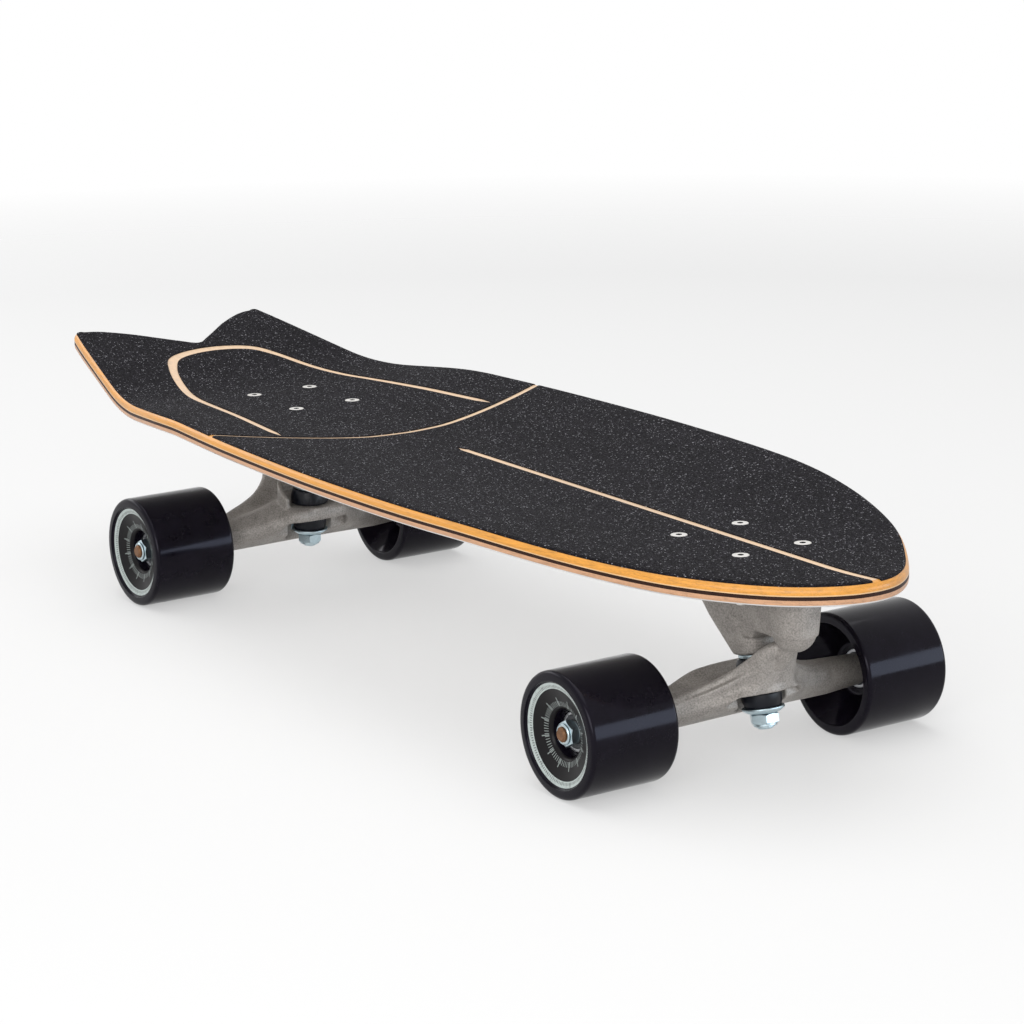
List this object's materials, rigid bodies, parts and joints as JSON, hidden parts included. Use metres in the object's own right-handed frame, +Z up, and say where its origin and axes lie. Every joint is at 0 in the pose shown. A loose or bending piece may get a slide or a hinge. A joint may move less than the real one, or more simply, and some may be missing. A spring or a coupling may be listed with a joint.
{
  "type": "surf skateboard",
  "caption": "Surf skateboard with a concave swallow-tail wooden deck, grip sheets split by bare wood lines, cast carving trucks on sprung steering pivots, and wide wheels on ball bearings.",
  "frame": {"origin": "on the floor under the wheels, halfway between the nose and the tail tips, on the centre line", "axes": "+X to the nose, +Y to the left side seen from behind the tail, +Z up"},
  "size_m": [0.76, 0.251, 0.146],
  "materials": {
    "deck_wood": "amber stained maple, satin",
    "grip": "black abrasive grip sheet, matt and speckled",
    "cast": "raw sand-blasted casting",
    "zinc": "zinc plated, bluish",
    "nickel": "bright nickel plated",
    "brass": "brassy yellow plating",
    "bearing": "ground steel races with a flat shield",
    "urethane": "near black glossy urethane",
    "bushing": "black urethane, satin"
  },
  "bodies": {
    "board": {"deck": "deck_wood", "grip_tail": "grip", "grip_nose": "grip", "front_bolt_1": "nickel", "front_bolt_2": "nickel", "front_bolt_3": "nickel", "front_bolt_4": "nickel", "front_bolt_nut_1": "brass", "front_bolt_nut_2": "brass", "front_bolt_nut_3": "brass", "front_bolt_nut_4": "brass", "front_baseplate": "cast", "front_pivot_cup": "bushing", "front_kingpin": "zinc", "front_kingpin_nut": "zinc", "front_top_washer": "zinc", "front_top_bushing": "bushing", "front_bottom_bushing": "bushing", "front_bottom_washer": "zinc", "rear_bolt_1": "nickel", "rear_bolt_2": "nickel", "rear_bolt_3": "nickel", "rear_bolt_4": "nickel", "rear_bolt_nut_1": "brass", "rear_bolt_nut_2": "brass", "rear_bolt_nut_3": "brass", "rear_bolt_nut_4": "brass", "rear_baseplate": "cast", "rear_pivot_cup": "bushing", "rear_kingpin": "zinc", "rear_kingpin_nut": "zinc", "rear_top_washer": "zinc", "rear_top_bushing": "bushing", "rear_bottom_bushing": "bushing", "rear_bottom_washer": "zinc"},
    "front_hanger_set": {"front_hanger": "cast", "front_axle": "zinc", "front_left_axle_washer": "zinc", "front_left_axle_nut": "zinc", "front_right_axle_washer": "zinc", "front_right_axle_nut": "zinc"},
    "rear_hanger_set": {"rear_hanger": "cast", "rear_axle": "zinc", "rear_left_axle_washer": "zinc", "rear_left_axle_nut": "zinc", "rear_right_axle_washer": "zinc", "rear_right_axle_nut": "zinc"},
    "front_left_wheel_set": {"front_left_wheel": "urethane", "front_left_outer_bearing": "bearing", "front_left_inner_bearing": "bearing"},
    "front_right_wheel_set": {"front_right_wheel": "urethane", "front_right_outer_bearing": "bearing", "front_right_inner_bearing": "bearing"},
    "rear_left_wheel_set": {"rear_left_wheel": "urethane", "rear_left_outer_bearing": "bearing", "rear_left_inner_bearing": "bearing"},
    "rear_right_wheel_set": {"rear_right_wheel": "urethane", "rear_right_outer_bearing": "bearing", "rear_right_inner_bearing": "bearing"}
  },
  "joints": [
    {"name": "front_steering", "type": "hinge", "parent": "board", "child": "front_hanger_set", "pos_m": [0.2827, 0, 0.0465], "axis": [0.6738, 0, 0.7389], "range_deg": [-18, 18], "stiffness_Nm_per_rad": 40, "deforming": ["front_top_bushing", "front_bottom_bushing"]},
    {"name": "rear_steering", "type": "hinge", "parent": "board", "child": "rear_hanger_set", "pos_m": [-0.1912, 0, 0.0495], "axis": [-0.8997, 0, 0.4365], "range_deg": [-18, 18], "stiffness_Nm_per_rad": 60, "deforming": ["rear_top_bushing", "rear_bottom_bushing"]},
    {"name": "front_left_spin", "type": "hinge", "parent": "front_hanger_set", "child": "front_left_wheel_set", "pos_m": [0.2627, 0.0911, 0.0345], "axis": [0, 1, 0], "continuous": true},
    {"name": "front_right_spin", "type": "hinge", "parent": "front_hanger_set", "child": "front_right_wheel_set", "pos_m": [0.2627, -0.0911, 0.0345], "axis": [0, 1, 0], "continuous": true},
    {"name": "rear_left_spin", "type": "hinge", "parent": "rear_hanger_set", "child": "rear_left_wheel_set", "pos_m": [-0.2115, 0.0911, 0.0345], "axis": [0, 1, 0], "continuous": true},
    {"name": "rear_right_spin", "type": "hinge", "parent": "rear_hanger_set", "child": "rear_right_wheel_set", "pos_m": [-0.2115, -0.0911, 0.0345], "axis": [0, 1, 0], "continuous": true}
  ]
}
